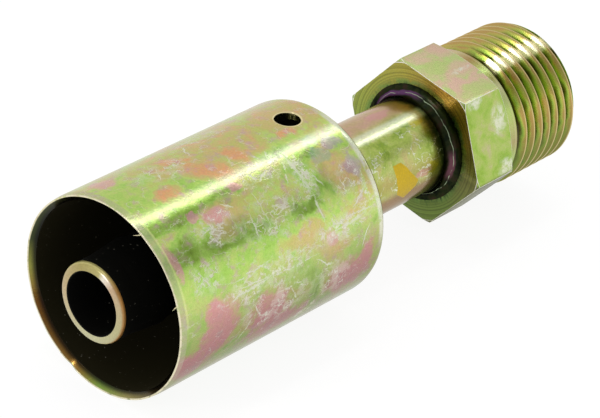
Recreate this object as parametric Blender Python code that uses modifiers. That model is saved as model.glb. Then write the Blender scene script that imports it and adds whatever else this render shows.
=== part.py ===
"""A crimp hose fitting for a half inch line: ferrule, hose stem, braze fillet and threaded end.

The fitting lies along +X, from the mouth of the ferrule to the end of the thread. Every piece is
turned about the local Z of one frame, whose zero is the plane of the ferrule's mouth, and the frame
is laid over so that its Z runs along +X and its -X points up. Units are metres.
"""
import math

import bmesh
import bpy

# How round the turned pieces are, and the clearance between pieces that are brazed or staked
SEGMENTS = 64
DRILL_SEGMENTS = 32
HEX_SIDES = 6
CORNER_STEPS = 4
SMOOTH_ANGLE = math.radians(30.0)
MERGE_DISTANCE = 0.00001
WELD_DISTANCE = 0.000003
FIT_GAP = 0.0001

# Ferrule
FERRULE_RADIUS = 0.0125
FERRULE_LENGTH = 0.0350
FERRULE_WALL = 0.0009
FERRULE_REAR_WALL = 0.0014
FERRULE_REAR_ROUND = 0.00145
LIP_DROP = 0.0001
LIP_LENGTH = 0.0010
LIP_EDGE = 0.00007
MOUTH_BEVEL_DEPTH = 0.00072
SHOULDER_SEAT_DEPTH = 0.0002
STAKE_DEPTH = 0.0003
STAKE_SLOPE = 0.00035
SIGHT_HOLE_RADIUS = 0.0016
SIGHT_HOLE_FROM_REAR = 0.0053

# Hose stem, a steel tube that is swaged down and barbed inside the ferrule
TUBE_RADIUS = 0.00625
TUBE_BORE_RADIUS = 0.0049
GROOVE_DEPTH = 0.00045
SHOULDER_BEFORE_WALL = 0.0022
SWAGE_LENGTH = 0.0016
STEM_ROOT_RADIUS = 0.0050
STEM_BORE_RADIUS = 0.00388
STEM_REACH_PAST_MOUTH = 0.0017
NOSE_RIM_RADIUS = 0.00475
NOSE_ROUND_LENGTH = 0.0008
NOSE_PLAIN_LENGTH = 0.0030
BARB_HEIGHT = 0.00045
BARB_COUNT = 5
BARB_PITCH = 0.0048
BARB_BACK_LENGTH = 0.0004
BORE_TAPER_LENGTH = 0.0020

# Threaded end: hexagon, round shoulder, relief groove, thread and seat bore
NECK_LENGTH = 0.0197
HEX_ACROSS_FLATS = 0.0190
HEX_CORNER_LENGTH = 0.0067
HEX_REAR_FACE_RADIUS = 0.0105
HEX_CHAMFER_ANGLE = math.radians(30.0)
HEX_TURN = math.radians(40.0)
COLLAR_RADIUS = 0.00940
COLLAR_LENGTH = 0.00145
RELIEF_RADIUS = 0.0085
RELIEF_LENGTH = 0.0010
RELIEF_SLOPE_LENGTH = 0.0006
THREAD_RADIUS = 0.009525
THREAD_PITCH = 0.0015875
THREAD_DEPTH = 0.00097
THREAD_CREST_FLAT = 0.0002
THREAD_FLANK_ANGLE = math.radians(30.0)
THREAD_FIRST_CREST = 0.0012
THREAD_CUTTER_OVER = 0.0001
THREAD_END_CHAMFER = 0.0011
THREADED_LENGTH = 0.01275
SOCKET_DEPTH = 0.0050
FLOW_BORE_RADIUS = 0.0049
SEAT_RADIUS = 0.00645
SEAT_DEPTH = 0.0080
SEAT_CHAMFER = 0.0011

# Braze fillet
BRAZE_FILLET_RADIUS = 0.00130
BRAZE_EDGE = 0.00008

# Places along the axis that follow from the sizes
WALL_FRONT = FERRULE_LENGTH - FERRULE_REAR_WALL
SEAT_FLOOR = WALL_FRONT + SHOULDER_SEAT_DEPTH
STAKE_FLOOR = FERRULE_LENGTH - STAKE_DEPTH
HEX_REAR = FERRULE_LENGTH + NECK_LENGTH
HEX_CORNER_RADIUS = HEX_ACROSS_FLATS / math.sqrt(3.0)
HEX_REAR_CHAMFER = (HEX_CORNER_RADIUS - HEX_REAR_FACE_RADIUS) * math.tan(HEX_CHAMFER_ANGLE)
HEX_CORNER_END = HEX_REAR + HEX_CORNER_LENGTH
HEX_CHAMFER_LENGTH = (HEX_CORNER_RADIUS - COLLAR_RADIUS) * math.tan(HEX_CHAMFER_ANGLE)
COLLAR_START = HEX_CORNER_END + HEX_CHAMFER_LENGTH
COLLAR_END = COLLAR_START + COLLAR_LENGTH
RELIEF_END = COLLAR_END + RELIEF_LENGTH
FITTING_END = COLLAR_END + THREADED_LENGTH
SOCKET_END = HEX_REAR + SOCKET_DEPTH
MIDDLE = (FITTING_END - STEM_REACH_PAST_MOUTH) / 2.0


def corner_arc(center, start_angle, end_angle, radius, height=None):
    """Points of a quarter round in (radius, axial) coordinates, ends included."""
    height = radius if height is None else height
    points = []
    for step in range(CORNER_STEPS + 1):
        angle = start_angle + (end_angle - start_angle) * step / CORNER_STEPS
        points.append((center[0] + radius * math.cos(angle), center[1] + height * math.sin(angle)))
    return points


def plated_steel(name, color, roughness):
    """A plain metal material in the colour of its plating."""
    material = bpy.data.materials.new(name)
    material.use_nodes = True
    shader = material.node_tree.nodes["Principled BSDF"]
    shader.inputs["Base Color"].default_value = (*color, 1.0)
    shader.inputs["Metallic"].default_value = 1.0
    shader.inputs["Roughness"].default_value = roughness
    return material


def turned(name, profile, collection, frame, pitch=0.0, turns=1):
    """A closed profile of (radius, axial) points, outer side from top to bottom, turned about Z.

    With a pitch it climbs by that much in each of its turns, and both ends stay open.
    """
    mesh = bpy.data.meshes.new(name)
    count = len(profile)
    edges = [(index, (index + 1) % count) for index in range(count)]
    mesh.from_pydata([(radius, 0.0, axial) for radius, axial in profile], edges, [])
    piece = bpy.data.objects.new(name, mesh)
    collection.objects.link(piece)
    piece.parent = frame
    screw = piece.modifiers.new("turn", "SCREW")
    screw.axis = "Z"
    screw.angle = 2.0 * math.pi
    screw.screw_offset = pitch
    screw.iterations = turns
    screw.steps = SEGMENTS
    screw.render_steps = SEGMENTS
    screw.use_merge_vertices = True
    screw.merge_threshold = MERGE_DISTANCE
    return piece


def cut(piece, cutter, name):
    """Cuts a piece with a hidden cutter."""
    boolean = piece.modifiers.new(name, "BOOLEAN")
    boolean.operation = "DIFFERENCE"
    boolean.solver = "EXACT"
    boolean.object = cutter


def apply_modifiers(piece):
    """Puts the turned and cut shape into the piece's mesh."""
    evaluated = piece.evaluated_get(bpy.context.evaluated_depsgraph_get())
    mesh = bpy.data.meshes.new_from_object(evaluated)
    piece.modifiers.clear()
    piece.data = mesh
    mesh.name = piece.name
    return mesh


def finish(piece, material):
    """Makes the piece a plain mesh in its material, smooth but for its sharp edges."""
    mesh = apply_modifiers(piece)
    mesh.materials.clear()
    mesh.materials.append(material)
    mesh.shade_smooth()
    mesh.set_sharp_from_angle(angle=SMOOTH_ANGLE)


def hidden_cylinder(name, radius, length, sides, collection, frame):
    """A cylinder about its own Z that is only used to cut."""
    bpy.ops.mesh.primitive_cylinder_add(vertices=sides, radius=radius, depth=length)
    cylinder = bpy.context.object
    cylinder.name = name
    for owner in list(cylinder.users_collection):
        owner.objects.unlink(cylinder)
    collection.objects.link(cylinder)
    cylinder.parent = frame
    cylinder.hide_render = True
    cylinder.display_type = "WIRE"
    return cylinder


def ferrule_profile():
    """Section of the drawn cup: ring dent of the staking, outer side, lip, bevelled mouth, shoulder seat."""
    lip_radius = FERRULE_RADIUS - LIP_DROP
    inner_radius = FERRULE_RADIUS - FERRULE_WALL
    inner_round = FERRULE_REAR_ROUND - FERRULE_WALL
    hole_radius = TUBE_RADIUS - GROOVE_DEPTH + FIT_GAP
    seat_radius = TUBE_RADIUS + FIT_GAP
    profile = [(hole_radius, STAKE_FLOOR), (seat_radius, STAKE_FLOOR)]
    profile.append((seat_radius + STAKE_SLOPE, FERRULE_LENGTH))
    rear_center = (FERRULE_RADIUS - FERRULE_REAR_ROUND, FERRULE_LENGTH - FERRULE_REAR_ROUND)
    profile += corner_arc(rear_center, math.pi / 2, 0.0, FERRULE_REAR_ROUND)
    profile += corner_arc((lip_radius, LIP_LENGTH), 0.0, -math.pi / 2, LIP_DROP, LIP_LENGTH)
    profile.append((lip_radius - LIP_EDGE, 0.0))
    profile.append((inner_radius, MOUTH_BEVEL_DEPTH))
    inner_center = (inner_radius - inner_round, WALL_FRONT - inner_round)
    profile += corner_arc(inner_center, 0.0, math.pi / 2, inner_round)
    profile += [(seat_radius, WALL_FRONT), (seat_radius, SEAT_FLOOR), (hole_radius, SEAT_FLOOR)]
    return profile


def stem_profile():
    """Section of the tube: neck, staking groove, swaged shoulder, barbs, rounded nose and bore."""
    groove_radius = TUBE_RADIUS - GROOVE_DEPTH
    shoulder = WALL_FRONT - SHOULDER_BEFORE_WALL
    swage_start = shoulder - SWAGE_LENGTH
    nose = -STEM_REACH_PAST_MOUTH
    tube_end = SOCKET_END - FIT_GAP
    profile = [(TUBE_BORE_RADIUS, tube_end), (TUBE_RADIUS, tube_end)]
    profile += [(TUBE_RADIUS, STAKE_FLOOR + FIT_GAP), (groove_radius, STAKE_FLOOR + FIT_GAP)]
    profile += [(groove_radius, SEAT_FLOOR - FIT_GAP), (TUBE_RADIUS, SEAT_FLOOR - FIT_GAP)]
    profile += [(TUBE_RADIUS, shoulder), (STEM_ROOT_RADIUS, swage_start)]
    first_barb = nose + NOSE_PLAIN_LENGTH
    for index in reversed(range(BARB_COUNT)):
        crest = first_barb + (index + 1) * BARB_PITCH - BARB_BACK_LENGTH
        profile.append((STEM_ROOT_RADIUS, crest + BARB_BACK_LENGTH))
        profile.append((STEM_ROOT_RADIUS + BARB_HEIGHT, crest))
    profile.append((STEM_ROOT_RADIUS, first_barb))
    nose_round = STEM_ROOT_RADIUS - NOSE_RIM_RADIUS
    profile += corner_arc((NOSE_RIM_RADIUS, nose + NOSE_ROUND_LENGTH), 0.0, -math.pi / 2, nose_round,
                          NOSE_ROUND_LENGTH)
    profile.append((STEM_BORE_RADIUS, nose))
    profile += [(STEM_BORE_RADIUS, swage_start), (TUBE_BORE_RADIUS, swage_start + BORE_TAPER_LENGTH)]
    return profile


def threaded_end_profile():
    """Section of the bar before the flats and the thread are cut, with its socket and bores."""
    seat_floor = FITTING_END - SEAT_DEPTH
    socket_radius = TUBE_RADIUS + FIT_GAP
    return [
        (SEAT_RADIUS, FITTING_END - SEAT_CHAMFER),
        (SEAT_RADIUS + SEAT_CHAMFER, FITTING_END),
        (THREAD_RADIUS - THREAD_END_CHAMFER, FITTING_END),
        (THREAD_RADIUS, FITTING_END - THREAD_END_CHAMFER),
        (THREAD_RADIUS, RELIEF_END + RELIEF_SLOPE_LENGTH),
        (RELIEF_RADIUS, RELIEF_END),
        (RELIEF_RADIUS, COLLAR_END),
        (COLLAR_RADIUS, COLLAR_END),
        (COLLAR_RADIUS, COLLAR_START),
        (HEX_CORNER_RADIUS, HEX_CORNER_END),
        (HEX_CORNER_RADIUS, HEX_REAR + HEX_REAR_CHAMFER),
        (HEX_REAR_FACE_RADIUS, HEX_REAR),
        (socket_radius, HEX_REAR),
        (socket_radius, SOCKET_END),
        (FLOW_BORE_RADIUS, SOCKET_END),
        (FLOW_BORE_RADIUS, seat_floor),
        (SEAT_RADIUS, seat_floor),
    ]


def braze_fillet_profile():
    """Section of the filler metal: a concave quarter round between the tube and the hexagon."""
    inner = TUBE_RADIUS + FIT_GAP
    face = HEX_REAR - FIT_GAP
    outer = inner + BRAZE_EDGE + BRAZE_FILLET_RADIUS
    tip = face - BRAZE_EDGE - BRAZE_FILLET_RADIUS
    profile = [(inner, face), (outer, face)]
    profile += corner_arc((outer, tip), math.pi / 2, math.pi, BRAZE_FILLET_RADIUS)
    profile.append((inner, tip))
    return profile


def groove_profile(center):
    """Section of the thread's groove: narrow root, two flanks, and a side that stands over the crests."""
    crest_half = (THREAD_PITCH - THREAD_CREST_FLAT) / 2.0
    root_half = crest_half - THREAD_DEPTH * math.tan(THREAD_FLANK_ANGLE)
    outer_half = crest_half + THREAD_CUTTER_OVER * math.tan(THREAD_FLANK_ANGLE)
    root = THREAD_RADIUS - THREAD_DEPTH
    outer = THREAD_RADIUS + THREAD_CUTTER_OVER
    return [
        (outer, center + outer_half),
        (outer, center - outer_half),
        (root, center - root_half),
        (root, center + root_half),
    ]


def thread_cutter(cutters, frame):
    """The wound groove, a right-hand helix from the relief to past the end of the thread."""
    first = RELIEF_END + THREAD_FIRST_CREST - 1.5 * THREAD_PITCH
    turns = math.ceil((FITTING_END - first) / THREAD_PITCH + 0.5)
    cutter = turned("thread_groove", groove_profile(first), cutters, frame, THREAD_PITCH, turns)
    cutter.hide_render = True
    cutter.display_type = "WIRE"
    mesh = apply_modifiers(cutter)
    shape = bmesh.new()
    shape.from_mesh(mesh)
    bmesh.ops.holes_fill(shape, edges=shape.edges)
    shape.to_mesh(mesh)
    shape.free()
    # The groove starts in the middle of the relief, so that the collar stays whole
    guard_end = COLLAR_END + RELIEF_LENGTH / 2.0
    guard_length = 2.0 * THREAD_PITCH + guard_end - first
    guard = hidden_cylinder("collar_guard", 2.0 * THREAD_RADIUS, guard_length, SEGMENTS, cutters, frame)
    guard.location = (0.0, 0.0, guard_end - guard_length / 2.0)
    cut(cutter, guard, "start_in_relief")
    return cutter


def make_ferrule(pieces, cutters, frame):
    """The drawn cup with its sight hole, drilled through the wall that faces up."""
    ferrule = turned("ferrule", ferrule_profile(), pieces, frame)
    drill = hidden_cylinder("sight_hole_drill", SIGHT_HOLE_RADIUS, FERRULE_RADIUS,
                            DRILL_SEGMENTS, cutters, frame)
    drill.rotation_euler = (0.0, math.pi / 2, 0.0)
    drill.location = (-FERRULE_RADIUS, 0.0, FERRULE_LENGTH - SIGHT_HOLE_FROM_REAR)
    cut(ferrule, drill, "sight_hole")
    return ferrule


def make_threaded_end(pieces, cutters, frame):
    """The turned bar with six flats milled between its rear face and its collar, and its thread."""
    end = turned("threaded_end", threaded_end_profile(), pieces, frame)
    room = HEX_CORNER_RADIUS
    flats_end = COLLAR_START + COLLAR_LENGTH / 2.0
    length = flats_end - HEX_REAR + room
    middle = flats_end - length / 2.0
    core = hidden_cylinder("hexagon_core", HEX_CORNER_RADIUS, length + room, HEX_SIDES, cutters, frame)
    core.location = (0.0, 0.0, middle)
    core.rotation_euler = (0.0, 0.0, HEX_TURN + math.pi / HEX_SIDES)
    mill = hidden_cylinder("flats_mill", 2.0 * HEX_CORNER_RADIUS, length, SEGMENTS, cutters, frame)
    mill.location = (0.0, 0.0, middle)
    cut(mill, core, "around_hexagon")
    cut(end, mill, "flats")
    cut(end, thread_cutter(cutters, frame), "thread")
    weld = end.modifiers.new("weld", "WELD")
    weld.merge_threshold = WELD_DISTANCE
    return end


def build():
    """Builds the fitting in its own collection."""
    for leftover in list(bpy.data.objects):
        bpy.data.objects.remove(leftover, do_unlink=True)
    pieces = bpy.data.collections.new("crimp_hose_fitting")
    cutters = bpy.data.collections.new("cutters")
    bpy.context.scene.collection.children.link(pieces)
    bpy.context.scene.collection.children.link(cutters)

    frame = bpy.data.objects.new("fitting_frame", None)
    pieces.objects.link(frame)
    frame.location = (-MIDDLE, 0.0, FERRULE_RADIUS)
    frame.rotation_euler = (0.0, math.pi / 2, 0.0)

    ferrule_plating = plated_steel("yellow_zinc_ferrule", (0.46, 0.52, 0.22), 0.25)
    stem_plating = plated_steel("yellow_zinc_stem", (0.50, 0.50, 0.24), 0.22)
    end_plating = plated_steel("yellow_zinc_threaded_end", (0.47, 0.50, 0.20), 0.22)
    braze_plating = plated_steel("dark_purple_braze", (0.10, 0.08, 0.10), 0.30)

    finish(make_ferrule(pieces, cutters, frame), ferrule_plating)
    finish(turned("hose_stem", stem_profile(), pieces, frame), stem_plating)
    finish(make_threaded_end(pieces, cutters, frame), end_plating)
    finish(turned("braze_fillet", braze_fillet_profile(), pieces, frame), braze_plating)


build()
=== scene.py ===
"""Looks of a crimp hose fitting in yellow zinc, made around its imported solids. Units are metres.

Places on the fitting are given as a distance along the axis from the ferrule's mouth and as an angle
about the axis, from straight up towards the front. Materials give both in millimetres and degrees.
"""

import math

import bmesh
import bpy
from bpy.props import FloatProperty, FloatVectorProperty, IntProperty, PointerProperty
from mathutils import Matrix, Vector


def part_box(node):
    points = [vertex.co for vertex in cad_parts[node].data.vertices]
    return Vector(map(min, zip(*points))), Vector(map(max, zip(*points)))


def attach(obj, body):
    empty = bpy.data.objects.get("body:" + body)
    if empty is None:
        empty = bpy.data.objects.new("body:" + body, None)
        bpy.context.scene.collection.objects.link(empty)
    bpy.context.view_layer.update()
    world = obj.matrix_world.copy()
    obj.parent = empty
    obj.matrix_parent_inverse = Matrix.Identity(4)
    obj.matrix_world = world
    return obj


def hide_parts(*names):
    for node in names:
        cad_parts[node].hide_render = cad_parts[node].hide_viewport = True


bl_info = {
    "name": "Crimp Hose Fitting",
    "version": (1, 0, 0),
    "blender": (4, 5, 0),
    "location": "View3D > Sidebar > Fitting",
    "description": "Plated surfaces, the true thread and a pale stage for a crimp hose fitting",
    "category": "Object",
}

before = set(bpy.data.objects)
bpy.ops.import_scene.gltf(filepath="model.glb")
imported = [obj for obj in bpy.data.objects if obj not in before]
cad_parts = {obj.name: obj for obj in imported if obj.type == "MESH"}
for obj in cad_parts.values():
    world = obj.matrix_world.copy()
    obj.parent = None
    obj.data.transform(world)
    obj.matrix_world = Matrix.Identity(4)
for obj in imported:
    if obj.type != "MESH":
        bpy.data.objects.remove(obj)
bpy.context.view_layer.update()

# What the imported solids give: where the axis lies, and the outer size of each piece
FERRULE_LOW, FERRULE_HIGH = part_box("ferrule")
STEM_LOW, STEM_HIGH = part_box("hose_stem")
END_LOW, END_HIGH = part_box("threaded_end")
BRAZE_LOW, BRAZE_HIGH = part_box("braze_fillet")
MOUTH_X = FERRULE_LOW.x
AXIS_Z = (FERRULE_LOW.z + FERRULE_HIGH.z) / 2
FERRULE_RADIUS = (FERRULE_HIGH.y - FERRULE_LOW.y) / 2
FERRULE_LENGTH = FERRULE_HIGH.x - MOUTH_X
TUBE_RADIUS = (STEM_HIGH.y - STEM_LOW.y) / 2
STEM_NOSE = STEM_LOW.x - MOUTH_X
TUBE_END = STEM_HIGH.x - MOUTH_X
HEX_REAR = END_LOW.x - MOUTH_X
FITTING_END = END_HIGH.x - MOUTH_X
BRAZE_RADIUS = (BRAZE_HIGH.y - BRAZE_LOW.y) / 2
# What is left between the tube and the pieces that hold it
FIT_GAP = 0.0001

COLUMNS = 192
ARC_STEPS = 6
WELD_DISTANCE = 0.000002
SMOOTH_ANGLE = math.radians(30)
MILLIMETRE = 1000.0
TURN = 2 * math.pi
HEX_SIDES = 6
AXIS = Vector((1, 0, 0))

# Colours of the plating, from the thinnest film to the thickest, and of what is bare or dark
FILM = [
    (0, (0.17, 0.27, 0.03)), (0.12, (0.3, 0.5, 0.06)), (0.24, (0.43, 0.7, 0.13)),
    (0.36, (0.58, 0.73, 0.19)), (0.48, (0.61, 0.6, 0.18)), (0.6, (0.7, 0.55, 0.22)),
    (0.72, (0.84, 0.44, 0.2)), (0.84, (0.7, 0.38, 0.28)), (0.93, (0.5, 0.4, 0.46)),
    (1, (0.38, 0.54, 0.44))]
GOLD = (0.64, 0.56, 0.22)
PALE = (0.84, 0.85, 0.72)
MUSTARD = (0.63, 0.44, 0.018)
BARE_STEEL = (0.97, 0.94, 0.85)
PALE_GOLD = (0.85, 0.76, 0.46)
SHADE_BLACK = (0.003, 0.003, 0.002)
SHADE_UMBER = (0.022, 0.019, 0.008)
# Tints by their angle: of the collar, the rim of the nose with a painted highlight at 22 degrees, the bevel
# in the mouth, painted dark as shade over most of its turn, and the rear face
COLLAR_TINTS = [
    (-22, (0.74, 0.41, 0.34)), (-8, (0.68, 0.58, 0.28)), (6, (0.43, 0.27, 0.08)),
    (21, (0.42, 0.56, 0.16)), (30, (0.36, 0.36, 0.09)), (38, (0.56, 0.58, 0.28)),
    (58, (0.5, 0.66, 0.18)), (84, (0.42, 0.36, 0.15)), (99, (0.37, 0.57, 0.13))]
NOSE_TINTS_AND_HIGHLIGHT = [
    (-170, (0.58, 0.56, 0.32)), (-90, (0.58, 0.44, 0.24)), (-25, (0.4, 0.33, 0.1)),
    (12, (0.48, 0.42, 0.15)), (22, (0.92, 0.84, 0.7)), (42, (0.58, 0.4, 0.24)),
    (110, (0.52, 0.48, 0.24)), (170, (0.58, 0.56, 0.32))]
BEVEL_TINTS_AND_SHADE = [
    (-180, (0.2, 0.32, 0.05)), (-162, (0.34, 0.19, 0.04)), (-118.8, (0.22, 0.09, 0.013)),
    (-97.2, (0.22, 0.22, 0.04)), (-79.2, (0.03, 0.04, 0.01)), (-18, (0.025, 0.03, 0.01)),
    (36, (0.08, 0.07, 0.03)), (136.8, (0.05, 0.03, 0.01)), (158.4, (0.28, 0.24, 0.08)),
    (180, (0.2, 0.32, 0.05))]
REAR_TINTS = [
    (-180, (0.15, 0.22, 0.04)), (-90, (0.24, 0.3, 0.05)), (-18, (0.34, 0.3, 0.045)),
    (10.8, (0.36, 0.26, 0.05)), (30.6, (0.66, 0.38, 0.09)), (46.8, (0.28, 0.17, 0.028)),
    (79.2, (0.15, 0.14, 0.022)), (108, (0.19, 0.2, 0.05)), (136.8, (0.15, 0.22, 0.04)),
    (180, (0.15, 0.22, 0.04))]


def size(name, description, default):
    """A size in metres with its name and description."""
    return FloatProperty(name=name, description=description, default=default, min=0, precision=5,
                         subtype="DISTANCE", unit="LENGTH")


def degrees(name, description, default):
    """An angle, given in degrees."""
    return FloatProperty(name=name, description=description, default=math.radians(default),
                         subtype="ANGLE", unit="ROTATION")


def paint(name, description, default):
    """A colour in linear light."""
    return FloatVectorProperty(name=name, description=description, default=default, size=3,
                               min=0, max=1, subtype="COLOR")


class FerruleSettings(bpy.types.PropertyGroup):
    """Sizes of the drawn cup."""
    wall: size("Wall", "Thickness of the drawn wall", 0.0009)
    rear_wall: size("Rear wall", "Thickness of the wall the tube passes through", 0.0014)
    rear_round: size("Rear round", "Radius of the outer rear edge", 0.00145)
    lip_drop: size("Lip drop", "How much smaller the outer side is at the lip", 0.0001)
    lip_length: size("Lip length", "Length of the turned band behind the lip", 0.001)
    lip_edge: size("Lip edge", "Width of the flat edge of the lip", 0.00016)
    bevel_depth: size("Bevel depth", "Depth of the bevel inside the mouth", 0.00072)
    shoulder_seat: size("Shoulder seat", "Depth of the seat of the stem's shoulder", 0.0002)
    stake_depth: size("Stake depth", "Depth of the ring dent of the staking", 0.0003)
    stake_slope: size("Stake slope", "Width of the sloped side of the ring dent", 0.00035)
    hole_radius: size("Sight hole radius", "Radius of the sight hole", 0.0016)
    hole_from_rear: size("Sight hole place", "Distance of the sight hole from the rear", 0.0053)
    hole_break: size("Sight hole edge", "Width of the broken edge of the sight hole", 0.00012)


class StemSettings(bpy.types.PropertyGroup):
    """Sizes of the tube."""
    tube_bore: size("Tube bore", "Radius of the bore in the neck", 0.0049)
    groove_depth: size("Groove depth", "Depth of the staking groove", 0.00045)
    shoulder: size("Shoulder", "Length of the full tube in front of the wall", 0.0022)
    swage: size("Swage", "Length of the swaged cone", 0.0016)
    root_radius: size("Root radius", "Radius between the barbs", 0.005)
    bore: size("Stem bore", "Radius of the bore inside the hose", 0.00388)
    bore_taper: size("Bore taper", "Length of the cone between the bores", 0.002)
    nose_round: size("Nose round", "Length of the rounded nose", 0.0008)
    nose_plain: size("Plain nose", "Length of the nose before the first barb", 0.003)
    barb_height: size("Barb height", "Height of a barb over the root", 0.00045)
    barb_pitch: size("Barb pitch", "Distance from barb to barb", 0.0048)
    barb_back: size("Barb back", "Length of the steep side of a barb", 0.0004)
    barbs: IntProperty(name="Barbs", description="Number of barbs", default=5, min=1, max=8)


class EndSettings(bpy.types.PropertyGroup):
    """Sizes of the hexagon, the thread and the bores."""
    across_flats: size("Across flats", "Size of the wrench", 0.019)
    corner_length: size("Corner length", "Length of the hexagon along a corner", 0.0067)
    rear_face: size("Rear face", "Radius of the turned rear face", 0.0105)
    chamfer: degrees("Chamfer", "Angle of the hexagon's chamfers to the faces", 30)
    hex_turn: degrees("Hexagon turn", "Angle of the first corner from straight up", 40)
    edge_width: size("Edge width", "Width of the blunted edges", 0.00046)
    collar_radius: size("Collar radius", "Radius of the round collar", 0.0094)
    collar_length: size("Collar length", "Length of the round collar", 0.00145)
    relief_radius: size("Relief radius", "Radius of the thread relief", 0.0085)
    relief_length: size("Relief length", "Length of the thread relief", 0.001)
    crest_radius: size("Crest radius", "Radius over the thread's crests", 0.009525)
    pitch: size("Pitch", "Pitch of the thread", 0.0015875)
    thread_depth: size("Thread depth", "Depth of the thread", 0.00097)
    crest_at: size("Crest place", "Place of a crest, straight up, from the mouth", 0.065162)
    end_chamfer: size("End chamfer", "Size of the chamfer at the thread's end", 0.0011)
    socket_depth: size("Socket depth", "Depth of the brazed socket", 0.005)
    flow_bore: size("Flow bore", "Radius of the flow bore", 0.0049)
    seat_radius: size("Seat bore", "Radius of the seat bore", 0.00645)
    seat_depth: size("Seat depth", "Depth of the seat bore", 0.008)
    seat_chamfer: size("Seat chamfer", "Size of the lead-in of the seat bore", 0.0011)


class PlatingSettings(bpy.types.PropertyGroup):
    """Colours and gloss of the plating."""
    gold: paint("Gold", "Gold of the plating", GOLD)
    pale: paint("Pale", "Scratches and rubbed places", PALE)
    roughness: FloatProperty(name="Roughness", description="Roughness of clean plating",
                             default=0.24, min=0, max=1, subtype="FACTOR")


class StageSettings(bpy.types.PropertyGroup):
    """Camera, floor and lights."""
    lens: FloatProperty(name="Lens", description="Focal length in millimetres", default=169.3, min=1)
    roll: degrees("Roll", "Turn of the camera about its line of sight", 5.23)
    floor_size: size("Floor size", "Side of the square floor", 12.0)
    strip_power: FloatProperty(name="Strip power", description="Power of the strip light in watts",
                               default=2.3, min=0)
    softbox_power: FloatProperty(name="Softbox power", description="Power of the softbox in watts",
                                 default=2.3, min=0)


def about_axis(radius, along, angle):
    """The point at a radius, a distance from the mouth and an angle from straight up to the front."""
    return Vector((MOUTH_X + along, -radius * math.sin(angle), AXIS_Z + radius * math.cos(angle)))


def from_axis(place):
    """A place's radius and its distance from the mouth."""
    return math.hypot(place.y, place.z - AXIS_Z), place.x - MOUTH_X


def rounded(corners, closed):
    """Section points from (radius, along, rounding) corners, each rounding an arc of ARC_STEPS."""
    points = []
    count = len(corners)
    for index, (radius, along, rounding) in enumerate(corners):
        is_end = not closed and index in (0, count - 1)
        if is_end or rounding <= 0:
            points.append((radius, along))
            continue
        here = Vector((radius, along))
        before = Vector(corners[index - 1][:2]) - here
        after = Vector(corners[(index + 1) % count][:2]) - here
        half = before.angle(after) / 2
        reach = min(rounding / math.tan(half), 0.49 * before.length, 0.49 * after.length)
        start = here + before.normalized() * reach
        end = here + after.normalized() * reach
        for step in range(ARC_STEPS + 1):
            share = step / ARC_STEPS
            # A quadratic curve through the tangent points stands for the small arc
            point = start.lerp(here, share).lerp(here.lerp(end, share), share)
            points.append((point.x, point.y))
    return points


def opened(*meshes):
    """A bmesh of one or more meshes."""
    shape = bmesh.new()
    for mesh in meshes:
        shape.from_mesh(mesh)
    return shape


def close(shape, mesh):
    """Puts a finished bmesh into a mesh."""
    shape.to_mesh(mesh)
    shape.free()
    return mesh


def merge(shape):
    """Merges doubles and drops flat faces."""
    bmesh.ops.remove_doubles(shape, verts=shape.verts, dist=WELD_DISTANCE)
    bmesh.ops.dissolve_degenerate(shape, edges=shape.edges, dist=WELD_DISTANCE)


def grid_mesh(name, sections, first_angle, closed):
    """A welded mesh through one section for each column about the axis."""
    columns = len(sections)
    rows = len(sections[0])
    vertices = []
    for column, section in enumerate(sections):
        angle = first_angle + TURN * column / columns
        vertices += [about_axis(radius, along, angle) for radius, along in section]
    faces = []
    for here in range(0, columns * rows, rows):
        beside = (here + rows) % (columns * rows)
        for row in range(rows if closed else rows - 1):
            above = (row + 1) % rows
            faces.append((here + row, here + above, beside + above, beside + row))
    mesh = bpy.data.meshes.new(name)
    mesh.from_pydata(vertices, [], faces)
    shape = opened(mesh)
    merge(shape)
    if shape.calc_volume(signed=True) < 0:
        bmesh.ops.reverse_faces(shape, faces=shape.faces)
    return close(shape, mesh)


def turned_mesh(name, section):
    """A mesh with the same closed section all the way round."""
    return grid_mesh(name, [section] * COLUMNS, 0, closed=True)


def tube_mesh(name, rings):
    """A closed mesh through rings of places, with flat ends."""
    shape = bmesh.new()
    rings = [[shape.verts.new(place) for place in ring] for ring in rings]
    for low, high in zip(rings, rings[1:]):
        for side in range(len(low)):
            beside = (side + 1) % len(low)
            shape.faces.new((low[side], low[beside], high[beside], high[side]))
    shape.faces.new(rings[0][::-1])
    shape.faces.new(rings[-1])
    bmesh.ops.recalc_face_normals(shape, faces=shape.faces)
    return close(shape, bpy.data.meshes.new(name))


def link_object(name, data):
    """An object at the origin, in the scene."""
    thing = bpy.data.objects.new(name, data)
    bpy.context.scene.collection.objects.link(thing)
    return thing


def show(mesh, materials=()):
    """Puts a mesh, with its materials, into the scene."""
    piece = link_object(mesh.name, mesh)
    for material in materials:
        mesh.materials.append(material)
    return piece


def settle(piece, node):
    """Smooths a finished piece and lets it stand for its CAD node."""
    piece.data.shade_smooth()
    piece.data.set_sharp_from_angle(angle=SMOOTH_ANGLE)
    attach(piece, "root")
    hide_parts(node)
    return {"FINISHED"}


def bake(piece):
    """Puts the piece's modifiers into its mesh and removes them."""
    evaluated = piece.evaluated_get(bpy.context.evaluated_depsgraph_get())
    mesh = bpy.data.meshes.new_from_object(evaluated)
    piece.modifiers.clear()
    old = piece.data
    piece.data = mesh
    bpy.data.meshes.remove(old)
    mesh.name = piece.name
    return mesh


def paint_faces(mesh, choose, kept=None):
    """Gives each face the material that choose(radius, along) picks for its centre, but leaves kept."""
    for polygon in mesh.polygons:
        if polygon.material_index != kept:
            polygon.material_index = choose(*from_axis(polygon.center))


def arithmetic(operation, swapped=False):
    """A method of Value that adds one arithmetic node."""
    def method(self, other=0.0):
        pair = (other, self) if swapped else (self, other)
        return self.wiring.math(operation, *pair)
    return method


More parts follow.
